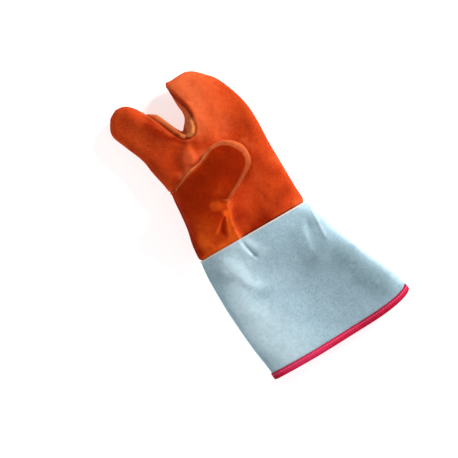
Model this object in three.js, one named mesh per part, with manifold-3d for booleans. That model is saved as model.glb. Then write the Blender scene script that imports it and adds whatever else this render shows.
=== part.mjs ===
// Three-finger oven glove for the left hand, lying on its back with the palm up.
// Millimetres, +Z up, +Y from the hem to the fingertips. While it is built the wrist seam is at
// y = 0; at the end everything moves together so that the origin is under the middle of the glove.
import * as THREE from 'three';
import { mergeVertices } from 'three/addons/utils/BufferGeometryUtils.js';
import Module from 'manifold-3d';

const wasm = await Module();
wasm.setup();

// Named sizes
const HIDE = 2.0;
const CUFF_HIDE = 1.8;
const GAP = 0.3;
const TAPE = 1.2;
const TAPE_HEIGHT = 7;
const SEAM_Z = 17;
const CUFF_SEAM_Z = 15;
const ROUND_TOP = 2.25;
const ROUND_BASE = 2.7;
const SQUASH = 1.1;
const FAR = 400;
const CUFF_RING = 46;

// Hand and three-finger mitt: one section a row, across the glove, from inside the cuff to the tip
const HAND = [
  { y: -10, left: -64.2, right: 68.8, crown: 41, base: 2.7 },
  { y: 1, left: -64.4, right: 69, crown: 41.2, base: 2.7 },
  { y: 2.4, left: -67.4, right: 71.5, crown: 43.6, base: 0 },
  { y: 19, left: -66.2, right: 70.6, crown: 42.5, base: 0 },
  { y: 40, left: -61.8, right: 70.3, crown: 41, base: 0 },
  { y: 60, left: -59.6, right: 70.1, crown: 39.6, base: 0 },
  { y: 78, left: -58.2, right: 69.8, crown: 39, base: 0 },
  { y: 94, left: -53, right: 70.4, crown: 39, base: 0 },
  { y: 108, left: -42, right: 70.9, crown: 39, base: 0 },
  { y: 120, left: -28, right: 70.6, crown: 39, base: 0 },
  { y: 130, left: -15, right: 69.6, crown: 38.5, base: 0 },
  { y: 137.5, left: -9.8, right: 68.1, crown: 38, base: 0 },
  { y: 142, left: -8.2, right: 67, crown: 37.8, base: 0 },
  { y: 147.5, left: -3.4, right: 65.4, crown: 37.4, base: 0 },
  { y: 155, left: 0.4, right: 62.8, crown: 36.8, base: 0 },
  { y: 165, left: 0.8, right: 58.7, crown: 35.7, base: 0.3 },
  { y: 176, left: 0.4, right: 52.8, crown: 33.6, base: 1.2 },
  { y: 184, left: 0, right: 45.4, crown: 31.2, base: 3 },
  { y: 190, left: -0.4, right: 39.8, crown: 28.4, base: 5.2 },
  { y: 194.6, left: -1.2, right: 34.6, crown: 25, base: 8.6 },
  { y: 196.8, left: 0, right: 30.6, crown: 22.6, base: 11.2 },
  { y: 198.2, left: 17, right: 27.2, crown: 20.2, base: 13.8 },
];

// Index finger: sections square to its own line, measured along it and to each side of it
const INDEX_LINE = { x: -44.7, y: 149.5, turn: 28.6 };
const INDEX = [
  { at: -60, left: -44, right: 38, crown: 38.4, base: 1 },
  { at: -47, left: -41.2, right: 36, crown: 38, base: 0.3 },
  { at: -40, left: -38.5, right: 31.5, crown: 37.6, base: 0 },
  { at: -32.3, left: -36.2, right: 27, crown: 37, base: 0 },
  { at: -19, left: -32.2, right: 25, crown: 36.5, base: 0 },
  { at: -6, left: -27.4, right: 24.6, crown: 36, base: 0 },
  { at: 6, left: -25.2, right: 24.4, crown: 35.5, base: 0 },
  { at: 15.5, left: -24.4, right: 22.8, crown: 35, base: 0 },
  { at: 26, left: -23.2, right: 20.6, crown: 34, base: 0.4 },
  { at: 34, left: -22.5, right: 19.8, crown: 32.5, base: 1 },
  { at: 40, left: -21.4, right: 18.6, crown: 30.5, base: 2.4 },
  { at: 45, left: -18.4, right: 16.9, crown: 28, base: 4.6 },
  { at: 50, left: -12, right: 13, crown: 24.5, base: 8 },
  { at: 53.4, left: -6, right: 8.2, crown: 20.5, base: 13 },
];

// Thumb, folded across the palm: far edge and near edge of each section, its underside and its top
const THUMB = [
  { farX: -60, farY: 14, nearX: -17, nearY: 8, base: 10, crown: 38 },
  { farX: -58.8, farY: 36, nearX: -10, nearY: 28, base: 14, crown: 46 },
  { farX: -57, farY: 60, nearX: -5.5, nearY: 38, base: 20, crown: 55 },
  { farX: -53.4, farY: 82.4, nearX: -3, nearY: 43.6, base: 26, crown: 62 },
  { farX: -39, farY: 90.8, nearX: 1, nearY: 45.6, base: 32, crown: 65 },
  { farX: -23, farY: 96.8, nearX: 6, nearY: 48.6, base: 36.5, crown: 66.5 },
  { farX: -11.4, farY: 99.2, nearX: 14, nearY: 52.4, base: 37.5, crown: 66.5 },
  { farX: -0.3, farY: 104.8, nearX: 23, nearY: 57.4, base: 37.5, crown: 66 },
  { farX: 8.9, farY: 108.5, nearX: 33.6, nearY: 64.3, base: 37.5, crown: 64 },
  { farX: 20.5, farY: 108.6, nearX: 41.8, nearY: 73.4, base: 38.5, crown: 61 },
  { farX: 31, farY: 103.7, nearX: 42.9, nearY: 84.3, base: 41.5, crown: 57.5 },
  { farX: 36.8, farY: 98.6, nearX: 41.6, nearY: 90.6, base: 45.5, crown: 53 },
];

// Cuff: sections across it from the wrist seam to the hem
const CUFF = [
  { y: 0, left: -67.3, right: 71.9, crown: 44, base: 0 },
  { y: -8, left: -68, right: 75, crown: 44, base: 0 },
  { y: -21, left: -69.2, right: 79.6, crown: 43, base: 0 },
  { y: -37, left: -69.5, right: 84, crown: 41.5, base: 0 },
  { y: -51, left: -69.4, right: 89.2, crown: 40, base: 0 },
  { y: -65, left: -69.2, right: 94.2, crown: 38.5, base: 0 },
  { y: -78, left: -68.4, right: 99.8, crown: 37, base: 0 },
  { y: -91, left: -67.5, right: 105.8, crown: 36, base: 0 },
  { y: -104, left: -66.4, right: 111.7, crown: 35, base: 0 },
  { y: -117, left: -65.1, right: 117.2, crown: 34.3, base: 0 },
  { y: -131, left: -63.2, right: 122.4, crown: 33.8, base: 0.3 },
  { y: -144, left: -61.2, right: 124.9, crown: 33.4, base: 1.5 },
  { y: -152, left: -60.2, right: 125.3, crown: 33.2, base: 1.7 },
  { y: -161.5, left: -59.3, right: 125.4, crown: 33, base: 1.7 },
];
const HEM_Y = -159.8;

// How far the hem climbs to the vent at the little-finger side, by the angle round the cuff
const VENT = [
  { turn: 0, climb: 14.4 },
  { turn: 10, climb: 12.6 },
  { turn: 24, climb: 9.4 },
  { turn: 38, climb: 6.4 },
  { turn: 52, climb: 4 },
  { turn: 66, climb: 2.2 },
  { turn: 90, climb: 0.6 },
  { turn: 110, climb: 0 },
];

// Ridges and hollows on the upper side: a line, how far it lifts the hide and how wide it runs out
const HAND_FOLDS = [
  { x1: -14.6, y1: 2, x2: -12, y2: 22, lift: 1.6, wide: 5 },
  { x1: -12, y1: 22, x2: -3.6, y2: 44.6, lift: 2, wide: 5 },
  { x1: -14.3, y1: 32.9, x2: -38.9, y2: 17.8, lift: 2.5, wide: 6 },
  { x1: -33, y1: 46.4, x2: -14, y2: 35.4, lift: -1.4, wide: 4 },
  { x1: -26, y1: 10, x2: -44, y2: 8, lift: -2, wide: 10 },
  { x1: -12, y1: 126, x2: -17, y2: 100, lift: 2, wide: 7 },
  { x1: -24, y1: 130, x2: -40, y2: 98, lift: -2.8, wide: 10 },
  { x1: 12, y1: 20, x2: 52, y2: 150, lift: -7, wide: 22 },
  { x1: 9, y1: 186, x2: 12, y2: 140, lift: 2.6, wide: 9 },
  { x1: -28, y1: 142, x2: -52, y2: 186, lift: 3, wide: 9 },
  { x1: -42, y1: 120, x2: -68, y2: 172, lift: -4.5, wide: 14 },
];
const CUFF_FOLDS = [
  { x1: -14.5, y1: -1, x2: -10.1, y2: -26.7, lift: -2.2, wide: 4 },
  { x1: -20, y1: -1, x2: -17, y2: -24, lift: 1.8, wide: 5 },
  { x1: -44, y1: -1, x2: -40, y2: -24, lift: 2, wide: 8 },
  { x1: -40, y1: -24, x2: -29, y2: -58, lift: 2.4, wide: 8 },
  { x1: -55, y1: -8, x2: -58, y2: -46, lift: -2.2, wide: 8 },
  { x1: 59, y1: -8, x2: 45, y2: -52, lift: 1.8, wide: 5 },
  { x1: 72.5, y1: -14, x2: 66.3, y2: -69.5, lift: 2.4, wide: 6 },
  { x1: -4, y1: -40, x2: 62.4, y2: -185, lift: -12, wide: 38 },
];

// Edge of the palm panel round the fork between the index finger and the mitt
const FORK = [
  { x: -46, y: 198 },
  { x: -39.5, y: 186 },
  { x: -37, y: 180 },
  { x: -35.9, y: 177.4 },
  { x: -33.9, y: 173.9 },
  { x: -29.8, y: 164.9 },
  { x: -25.3, y: 154.3 },
  { x: -21.8, y: 144.8 },
  { x: -17.8, y: 136.2 },
  { x: -14.1, y: 131 },
  { x: -6.8, y: 128.6 },
  { x: 0.9, y: 130.5 },
  { x: 5.3, y: 135.9 },
  { x: 7.4, y: 144.1 },
  { x: 8.4, y: 152.8 },
  { x: 7.4, y: 160.6 },
  { x: 4.4, y: 169 },
  { x: 2.2, y: 179 },
  { x: 1, y: 187.5 },
  { x: -1, y: 196 },
  { x: -4, y: 203 },
];

// Outer thumb panel: where it ends over the palm, on the thumb itself and on the back of the hand
const STRIP_OVER = [
  { x: -15.2, y: -14 },
  { x: -14.6, y: 0.4 },
  { x: -13.6, y: 11 },
  { x: -12, y: 22 },
  { x: -8.8, y: 34.5 },
  { x: -3.6, y: 44.6 },
  { x: -24, y: 66 },
  { x: -52, y: 86 },
  { x: -95, y: 86 },
  { x: -95, y: -14 },
];
const STRIP_UNDER = [
  { x: -20, y: -14 },
  { x: -23, y: 40 },
  { x: -30, y: 66 },
  { x: -52, y: 86 },
  { x: -95, y: 86 },
  { x: -95, y: -14 },
];
const THUMB_FACE = [
  { x: -3.6, y: 44.6 },
  { x: -1.1, y: 46.8 },
  { x: 7.3, y: 51.8 },
  { x: 14.6, y: 55.3 },
  { x: 21, y: 59.4 },
  { x: 27.4, y: 63.6 },
  { x: 34.1, y: 69 },
  { x: 37.8, y: 76.1 },
  { x: 37.8, y: 84 },
  { x: 34.4, y: 91.8 },
  { x: 29, y: 98.7 },
  { x: 21.4, y: 103.7 },
  { x: 13.4, y: 105.5 },
  { x: 6.3, y: 104.6 },
  { x: -0.5, y: 102 },
  { x: -6.3, y: 98.8 },
  { x: -14.1, y: 96.8 },
  { x: -24.3, y: 94.8 },
  { x: -32.7, y: 91.7 },
  { x: -41, y: 88.7 },
  { x: -49.1, y: 86.1 },
  { x: -53, y: 82 },
  { x: -50, y: 60 },
];
const THUMB_SEAM_Z = 52;

const lerp = (a, b, t) => a + (b - a) * t;

// Reads a table between two rows by the key column, with the ends held
function between(rows, key, at) {
  const down = rows[0][key] > rows[rows.length - 1][key];
  const past = rows.findIndex((row) => (down ? row[key] <= at : row[key] >= at));
  if (past === 0) return { ...rows[0] };
  if (past < 0) return { ...rows[rows.length - 1] };
  const a = rows[past - 1];
  const b = rows[past];
  const t = (at - a[key]) / (b[key] - a[key]);
  const mixed = {};
  for (const name of Object.keys(a)) mixed[name] = lerp(a[name], b[name], t);
  return mixed;
}

// A point of a padded section: rounder above the seam, flattened to its underside below it
function sectionPoint(turn, half, seamZ, crown, base) {
  const c = Math.cos(turn);
  const s = Math.sin(turn);
  const power = 2 / (s >= 0 ? ROUND_TOP : ROUND_BASE);
  const out = Math.sign(c) * Math.abs(c) ** power * half;
  const lift = Math.abs(s) ** power;
  const z = s >= 0 ? seamZ + lift * (crown - seamZ) : Math.max(seamZ - lift * (seamZ - base) * SQUASH, base);
  return { out, z };
}

// Height that the folds add at a place: none at the side seams, nor where the cuff laps the hand,
// except for the cuff's own ridges, which stand clear of it
function foldLift(folds, x, y, z, seamZ, crown) {
  const upper = THREE.MathUtils.smoothstep(z, seamZ + 1, lerp(seamZ, crown, 0.75));
  const lapped = THREE.MathUtils.smoothstep(y, -22, -10) * (1 - THREE.MathUtils.smoothstep(y, 3, 14));
  let lift = 0;
  for (const fold of folds) {
    const line = new THREE.Line3(new THREE.Vector3(fold.x1, fold.y1, 0), new THREE.Vector3(fold.x2, fold.y2, 0));
    const near = line.closestPointToPoint(new THREE.Vector3(x, y, 0), true, new THREE.Vector3());
    const away = Math.hypot(near.x - x, near.y - y) / fold.wide;
    const clear = y < 2 && folds === CUFF_FOLDS && fold.lift > 0 ? 1 : 1 - lapped;
    lift += fold.lift * clear * Math.exp(-away * away);
  }
  return lift * upper;
}

// Closed skin over rings of equal length, capped at both ends
function loft(rings) {
  const count = rings[0].length;
  const points = rings.flat().concat([middle(rings[0]), middle(rings[rings.length - 1])]);
  const faces = [];
  for (let r = 0; r + 1 < rings.length; r += 1) {
    for (let i = 0; i < count; i += 1) {
      const j = (i + 1) % count;
      const a = r * count;
      const b = a + count;
      faces.push(a + i, a + j, b + j, a + i, b + j, b + i);
    }
  }
  const first = rings.length * count;
  const last = (rings.length - 1) * count;
  for (let i = 0; i < count; i += 1) {
    const j = (i + 1) % count;
    faces.push(first, j, i);
    faces.push(first + 1, last + i, last + j);
  }
  return solid(points, faces);
}

function middle(ring) {
  const sum = ring.reduce((a, p) => [a[0] + p[0], a[1] + p[1], a[2] + p[2]], [0, 0, 0]);
  return sum.map((v) => v / ring.length);
}

function solid(points, faces) {
  const mesh = new wasm.Mesh({
    numProp: 3,
    vertProperties: new Float32Array(points.flat()),
    triVerts: new Uint32Array(faces),
  });
  const made = new wasm.Manifold(mesh);
  if (made.volume() > 0) return made;
  const turned = [];
  for (let i = 0; i < faces.length; i += 3) turned.push(faces[i], faces[i + 2], faces[i + 1]);
  return new wasm.Manifold(
    new wasm.Mesh({
      numProp: 3,
      vertProperties: new Float32Array(points.flat()),
      triVerts: new Uint32Array(turned),
    }),
  );
}

// Tube through the rows of a form, taken in by an amount all round
function tube(rows, inset, count, folds) {
  const rings = [];
  for (const row of rows) {
    const half = Math.hypot(row.bx - row.ax, row.by - row.ay) / 2;
    const room = Math.min(half, row.crown - row.seam, row.seam - row.base) - inset;
    if (inset > 0 && room < 0.8) continue;
    const cx = (row.ax + row.bx) / 2 - row.backX * inset;
    const cy = (row.ay + row.by) / 2 - row.backY * inset;
    const ux = (row.bx - row.ax) / (2 * half);
    const uy = (row.by - row.ay) / (2 * half);
    const ring = [];
    for (let i = 0; i < count; i += 1) {
      const turn = (2 * Math.PI * i) / count;
      const p = sectionPoint(turn, half - inset, row.seam, row.crown - inset, row.base + inset);
      const x = cx + ux * p.out;
      const y = cy + uy * p.out;
      ring.push([x, y, p.z + foldLift(folds, x, y, p.z, row.seam, row.crown)]);
    }
    rings.push(ring);
  }
  return loft(rings);
}

function handForm(inset, extra) {
  const rows = HAND.map((row, i) => {
    const y = i === 0 ? row.y - extra : row.y;
    const tip = THREE.MathUtils.smoothstep(row.y, 150, 185);
    return { ...row, ax: row.left, ay: y, bx: row.right, by: y, seam: SEAM_Z, backX: 0, backY: tip };
  });
  return tube(rows, inset, 34, HAND_FOLDS);
}

function indexForm(inset) {
  const turn = THREE.MathUtils.degToRad(INDEX_LINE.turn);
  const along = { x: -Math.sin(turn), y: Math.cos(turn) };
  const across = { x: Math.cos(turn), y: Math.sin(turn) };
  const rows = INDEX.map((row) => {
    const x = INDEX_LINE.x + along.x * row.at;
    const y = INDEX_LINE.y + along.y * row.at;
    const tip = THREE.MathUtils.smoothstep(row.at, 10, 42);
    return {
      ...row,
      ax: x + across.x * row.left,
      ay: y + across.y * row.left,
      bx: x + across.x * row.right,
      by: y + across.y * row.right,
      seam: SEAM_Z,
      backX: along.x * tip,
      backY: along.y * tip,
    };
  });
  return tube(rows, inset, 24, HAND_FOLDS);
}

function thumbForm(inset) {
  const rows = THUMB.map((row, i) => {
    const tip = i / (THUMB.length - 1) > 0.6 ? 1 : 0;
    return {
      ax: row.farX,
      ay: row.farY,
      bx: row.nearX,
      by: row.nearY,
      crown: row.crown,
      base: row.base,
      seam: lerp(row.base, row.crown, 0.42),
      backX: 0.87 * tip,
      backY: 0.5 * tip,
    };
  });
  return tube(rows, inset, 25, []);
}

// Upright block over a flat outline, grown outward by an amount
function block(outline, low, high, grow) {
  const ring = outline.map((p) => [p.x, p.y]);
  let flat = new wasm.CrossSection([ring], 'Positive');
  if (flat.area() < 0.01) flat = new wasm.CrossSection([ring.slice().reverse()], 'Positive');
  if (grow > 0) flat = flat.offset(grow, 'Miter', 2);
  return wasm.Manifold.extrude(flat, high - low).translate([0, 0, low]);
}

function slab(low, high) {
  return wasm.Manifold.cube([2 * FAR, 2 * FAR, high - low]).translate([-FAR, -FAR, low]);
}

// The hide of the hand, with its hollow for the palm, the mitt, the index finger and the thumb
const hollow = handForm(HIDE, 6).add(indexForm(HIDE)).add(thumbForm(HIDE));
const body = handForm(0, 0).add(indexForm(0));
const hide = body.add(thumbForm(0)).subtract(hollow);

// The panels: each is the part of the hide inside its own region
const half = GAP / 2;
const fork = (grow) => block(FORK, -5, 60, grow);
const thumbPanel = (grow) =>
  block(STRIP_OVER, SEAM_Z - 0.01, 100, grow)
    .add(block(STRIP_UNDER, -5, SEAM_Z, grow))
    .add(block(THUMB_FACE, THUMB_SEAM_Z - grow, 100, grow));
const around = handForm(-GAP, 0).add(indexForm(-GAP));

const panels = {
  palm: hide.intersect(body).intersect(slab(SEAM_Z + half, 90)).subtract(thumbPanel(half)).subtract(fork(half)),
  back: hide.intersect(slab(-5, SEAM_Z - half)).subtract(thumbPanel(half)).subtract(fork(half)),
  finger_gusset: hide.intersect(fork(0)).subtract(thumbPanel(half)),
  thumb_outer: hide.intersect(thumbPanel(0)),
  thumb_inner: hide.subtract(around).subtract(thumbPanel(half)),
};

// Cuff surface: across by the angle round it, down from the wrist seam to the hem
function hemY(turn) {
  const degrees = THREE.MathUtils.radToDeg(turn) % 360;
  return HEM_Y + between(VENT, 'turn', Math.min(degrees, 360 - degrees)).climb;
}

function cuffPoint(down, turn, out) {
  const y = lerp(CUFF[0].y, hemY(turn), down);
  const row = between(CUFF, 'y', y);
  const wide = (row.right - row.left) / 2;
  const centre = (row.left + row.right) / 2;
  const p = sectionPoint(turn, wide + out, CUFF_SEAM_Z, row.crown + out, row.base - out);
  const skin = sectionPoint(turn, wide, CUFF_SEAM_Z, row.crown, row.base);
  const lift = foldLift(CUFF_FOLDS, centre + skin.out, y, skin.z, CUFF_SEAM_Z, row.crown);
  return [centre + p.out, y, p.z + lift];
}

function cuffSolid() {
  const ringCount = CUFF_RING;
  const steps = 13;
  const points = [];
  const faces = [];
  for (const out of [0, -CUFF_HIDE]) {
    for (let r = 0; r <= steps; r += 1) {
      for (let i = 0; i < ringCount; i += 1) points.push(cuffPoint(r / steps, (2 * Math.PI * i) / ringCount, out));
    }
  }
  const at = (side, r, i) => (side * (steps + 1) + r) * ringCount + (i % ringCount);
  const quad = (a, b, c, d) => faces.push(a, b, c, a, c, d);
  for (let i = 0; i < ringCount; i += 1) {
    for (let r = 0; r < steps; r += 1) {
      quad(at(0, r, i), at(0, r + 1, i), at(0, r + 1, i + 1), at(0, r, i + 1));
      quad(at(1, r, i + 1), at(1, r + 1, i + 1), at(1, r + 1, i), at(1, r, i));
    }
    quad(at(0, 0, i + 1), at(1, 0, i + 1), at(1, 0, i), at(0, 0, i));
    quad(at(0, steps, i), at(1, steps, i), at(1, steps, i + 1), at(0, steps, i + 1));
  }
  return solid(points, faces);
}

// Tape folded over the hem: both legs follow the cuff, from one side of the vent round to the other
function bindingSolid() {
  const rings = [];
  for (let i = 1; i < CUFF_RING; i += 1) {
    const turn = (2 * Math.PI * i) / CUFF_RING;
    const top = 1 - TAPE_HEIGHT / (CUFF[0].y - hemY(turn));
    const outer = TAPE + GAP;
    const inner = -CUFF_HIDE - GAP;
    const edge = [
      cuffPoint(top, turn, outer),
      cuffPoint(1, turn, outer),
      cuffPoint(1, turn, inner - TAPE),
      cuffPoint(top, turn, inner - TAPE),
      cuffPoint(top, turn, inner),
      cuffPoint(1, turn, inner),
      cuffPoint(1, turn, GAP),
      cuffPoint(top, turn, GAP),
    ];
    edge[1][1] -= TAPE + GAP;
    edge[2][1] -= TAPE + GAP;
    edge[5][1] -= GAP;
    edge[6][1] -= GAP;
    rings.push(edge);
  }
  return sweep(rings);
}

// Skin over rings that are not star-shaped, so their ends are closed as three quads
function sweep(rings) {
  const faces = [];
  for (let r = 0; r + 1 < rings.length; r += 1) {
    for (let i = 0; i < 8; i += 1) {
      const a = r * 8 + i;
      const b = r * 8 + ((i + 1) % 8);
      faces.push(a, b, a + 8, b, b + 8, a + 8);
    }
  }
  const cap = [0, 7, 6, 0, 6, 1, 1, 6, 5, 1, 5, 2, 2, 5, 4, 2, 4, 3];
  const last = (rings.length - 1) * 8;
  for (let i = 0; i < cap.length; i += 3) {
    faces.push(cap[i], cap[i + 1], cap[i + 2]);
    faces.push(last + cap[i], last + cap[i + 2], last + cap[i + 1]);
  }
  return solid(rings.flat(), faces);
}

panels.cuff = cuffSolid();
panels.cuff_binding = bindingSolid();

const LEATHER = { palm: 0xdc4b1e, back: 0xd8481c, finger_gusset: 0xe17d4b, thumb_outer: 0xa8401c };
const COLOURS = { ...LEATHER, thumb_inner: 0xe17d4b, cuff: 0xa5bec8, cuff_binding: 0xe1143c };

const group = new THREE.Group();
group.name = 'three_finger_oven_glove';
for (const [name, made] of Object.entries(panels)) {
  const bodies = made.decompose().sort((a, b) => b.volume() - a.volume());
  const kept = bodies[0].getMesh();
  const raw = new THREE.BufferGeometry();
  raw.setAttribute('position', new THREE.BufferAttribute(new Float32Array(kept.vertProperties), 3));
  raw.setIndex(new THREE.BufferAttribute(new Uint32Array(kept.triVerts), 1));
  const geometry = mergeVertices(raw, 1e-4);
  geometry.computeVertexNormals();
  const material = new THREE.MeshStandardMaterial({ color: COLOURS[name], roughness: 0.9, metalness: 0 });
  const mesh = new THREE.Mesh(geometry, material);
  mesh.name = name;
  group.add(mesh);
}

// Origin under the middle of the glove, on the floor
const box = new THREE.Box3().setFromObject(group);
const shift = box.getCenter(new THREE.Vector3()).setZ(box.min.z).negate();
for (const mesh of group.children) mesh.geometry.translate(shift.x, shift.y, shift.z);

export default group;
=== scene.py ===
"""Three-finger oven glove for the left hand, lying palm up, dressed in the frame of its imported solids."""
import math

import bpy
import numpy as np
from mathutils import Matrix, Vector
from mathutils.bvhtree import BVHTree


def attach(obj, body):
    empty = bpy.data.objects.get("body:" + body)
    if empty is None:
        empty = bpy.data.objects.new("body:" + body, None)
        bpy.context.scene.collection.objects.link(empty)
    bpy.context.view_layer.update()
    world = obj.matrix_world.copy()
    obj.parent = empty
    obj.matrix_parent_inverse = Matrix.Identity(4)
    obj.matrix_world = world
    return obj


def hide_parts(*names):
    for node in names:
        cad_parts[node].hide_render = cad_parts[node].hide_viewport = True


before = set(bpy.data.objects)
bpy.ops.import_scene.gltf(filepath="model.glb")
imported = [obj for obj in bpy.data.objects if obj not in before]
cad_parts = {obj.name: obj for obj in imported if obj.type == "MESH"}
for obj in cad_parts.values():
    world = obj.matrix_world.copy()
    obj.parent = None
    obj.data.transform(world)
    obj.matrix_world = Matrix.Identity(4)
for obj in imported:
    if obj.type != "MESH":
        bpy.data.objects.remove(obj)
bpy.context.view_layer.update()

# Sizes and places are in millimetres from the middle of the wrist seam, +Y to the fingertips and +Z up
MM_PER_M = 1000
# From there to the part's own origin
SHIFT = np.array([21.631, 19.501, 0.0])
# The hide lies this far above the ground
LOWEST = 0.05

# Walls; the hand's is 0.4 mm thinner here than the 2 mm of its solids
PANEL_WALL = 1.6
CUFF_HIDE = 1.8

# Tape round the hem
TAPE = 1.2
TAPE_HEIGHT = 7.0
# How far it stands off, how clear its inner side is at the edge and halfway, and its drop at the hem
TAPE_PLAY = 0.35
TAPE_CLEAR = 0.3
TAPE_SNUG = 0.25
TAPE_DROP = 1.5
# The angle from the little finger's side where it starts
TAPE_START = 2 * math.pi / 46
STITCH_LENGTH = 3.2

# Groove beside the tape's woven edge: share of the way down to the hem, depth and width
GROOVE_SHARE = 0.16
GROOVE_DEEP = 0.25
GROOVE_WIDE = 0.07

# Heights of the seams at the sides, and how square a section is above and below them
SEAM_Z = 17.0
CUFF_SEAM_Z = 15.0
THUMB_SEAM_Z = 50.0
THUMB_SEAM_SHARE = 0.42
ROUND_TOP = 2.25
ROUND_BASE = 2.7
SQUASH = 1.1

# Fineness of the skins: voxel, points round a section, sections, rows and columns of points
VOXEL = 1.1
SECTION_POINTS = 96
THUMB_SECTIONS = 70
CUFF_ROWS = 118
CUFF_COLUMNS = 300
TAPE_COLUMNS = 700
# Points nearer a seam than this count as inside it, so that no sliver is cut
NO_SLIVER = 0.05

# Where the hand's and the index finger's sections start, where the rounded tip starts, and the last one
HAND_STATIONS = (-10, 190, 198.2)
INDEX_STATIONS = (-60, 44, 54)
# Half width and crown of a section from the middle of the cuff
CUFF_MIDDLE_HALF = 85
CUFF_MIDDLE_CROWN = 37

# Rounds of smoothing: all over, where the fingers join the hand, and in the crotch of the fork
RELAX_ROUNDS = 3
JOIN_ROUNDS = 14
CROTCH_ROUNDS = 12
CROTCH = (-5, 131)
CROTCH_WIDE = 9
# How wide the joins of the thumb and the index finger are rounded, and how far at most
THUMB_JOIN_WIDE = 7
THUMB_JOIN_REACH = 14
INDEX_JOIN_WIDE = 5
INDEX_JOIN_REACH = 9
# The thumb's tip lies free over the palm from this corner on, up to this y
FREE_TIP_CORNER = (-6, 44, 30)
FREE_TIP_TOP = 112

# The line where the thumb leaves the palm: a point on it and its run
THUMB_ROOT = (-6.0, 41.0)
THUMB_ROOT_RUN = (-46.0, 43.0)

# The ground, in metres, and the view: its turn, the point under its middle, its width there, and the lens
FLOOR_HALF = 4.0
FLOOR_Z = -0.0004
VIEW_TURN = math.radians(-30)
VIEW_MIDDLE = (-19.9, 16.2, 20.0)
FRAME_WIDTH = 0.5276
LENS = 150.0
SENSOR = 36.0

# Hand and three-finger mitt, one section a row: y, left, right, crown, base
HAND = np.array([
    (-10, -64.2, 68.8, 41, 2.7),
    (1, -64.4, 69, 41.2, 2.7),
    (2.4, -67.4, 71.5, 43.6, 0),
    (19, -66.2, 70.6, 42.5, 0),
    (40, -61.8, 70.3, 41, 0),
    (60, -59.6, 70.1, 39.6, 0),
    (78, -58.2, 69.8, 39, 0),
    (94, -53, 70.4, 39, 0),
    (108, -42, 70.9, 39, 0),
    (120, -28, 70.6, 39, 0),
    (130, -15, 69.6, 38.5, 0),
    (137.5, -9.8, 68.1, 38, 0),
    (142, -8.2, 67, 37.8, 0),
    (147.5, -3.4, 65.4, 37.4, 0),
    (155, 0.4, 62.8, 36.8, 0),
    (165, 0.8, 58.7, 35.7, 0.3),
    (176, 0.4, 52.8, 33.6, 1.2),
    (184, 0, 45.4, 31.2, 3),
    (190, -0.4, 39.8, 28.4, 5.2),
    (194.6, -1.2, 34.6, 25, 8.6),
    (196.8, 0, 30.6, 22.6, 11.2),
    (198.2, 17, 27.2, 20.2, 13.8),
])

# Index finger, square to its own line: at, left, right, crown, base
INDEX_START = (-44.7, 149.5)
INDEX_TURN = math.radians(28.6)
INDEX = np.array([
    (-60, -44, 38, 38.4, 1),
    (-47, -41.2, 36, 38, 0.3),
    (-40, -38.5, 31.5, 37.6, 0),
    (-32.3, -36.2, 27, 37, 0),
    (-19, -32.2, 25, 36.5, 0),
    (-6, -27.4, 24.6, 36, 0),
    (6, -25.2, 24.4, 35.5, 0),
    (15.5, -24.4, 22.8, 35, 0),
    (26, -23.2, 20.6, 34, 0.4),
    (34, -22.5, 19.8, 32.5, 1),
    (40, -21.4, 18.6, 30.5, 2.4),
    (45, -18.4, 16.9, 28, 4.6),
    (50, -12, 13, 24.5, 8),
    (53.4, -6, 8.2, 20.5, 13),
])

# Thumb folded over the palm: far x, far y, near x, near y, base, crown
THUMB = np.array([
    (-60, 14, -17, 8, 10, 38),
    (-58.8, 36, -10, 28, 14, 46),
    (-57, 60, -5.5, 38, 20, 55),
    (-53.4, 82.4, -3, 43.6, 26, 62),
    (-39, 90.8, 1, 45.6, 32, 65),
    (-23, 96.8, 6, 48.6, 36.5, 66.5),
    (-11.4, 99.2, 14, 52.4, 37.5, 66.5),
    (-0.3, 104.8, 23, 57.4, 37.5, 66),
    (8.9, 108.5, 33.6, 64.3, 37.5, 64),
    (20.5, 108.6, 41.8, 73.4, 38.5, 61),
    (31, 103.7, 42.9, 84.3, 41.5, 57.5),
    (36.8, 98.6, 41.6, 90.6, 45.5, 53),
])

# Cuff: how far down from the wrist seam, left, right, crown, base
CUFF = np.array([
    (0, -67.3, 71.9, 44, 0),
    (8, -68, 75, 44, 0),
    (21, -69.2, 79.6, 43, 0),
    (37, -69.5, 84, 41.5, 0),
    (51, -69.4, 89.2, 40, 0),
    (65, -69.2, 94.2, 38.5, 0),
    (78, -68.4, 99.8, 37, 0),
    (91, -67.5, 105.8, 36, 0),
    (104, -66.4, 111.7, 35, 0),
    (117, -65.1, 117.2, 34.3, 0),
    (131, -63.2, 122.4, 33.8, 0.3),
    (144, -61.2, 124.9, 33.4, 1.5),
    (152, -60.2, 125.3, 33.2, 1.7),
    (161.5, -59.3, 125.4, 33, 1.7),
])
# The hem, and how far the vent's edge climbs above it: degrees from the little finger's side, climb
HEM_Y = -159.8
VENT_TURN = (0, 10, 24, 38, 52, 66, 90, 110)
VENT_CLIMB = (14.4, 12.6, 9.4, 6.4, 4, 2.2, 0.6, 0)

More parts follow.
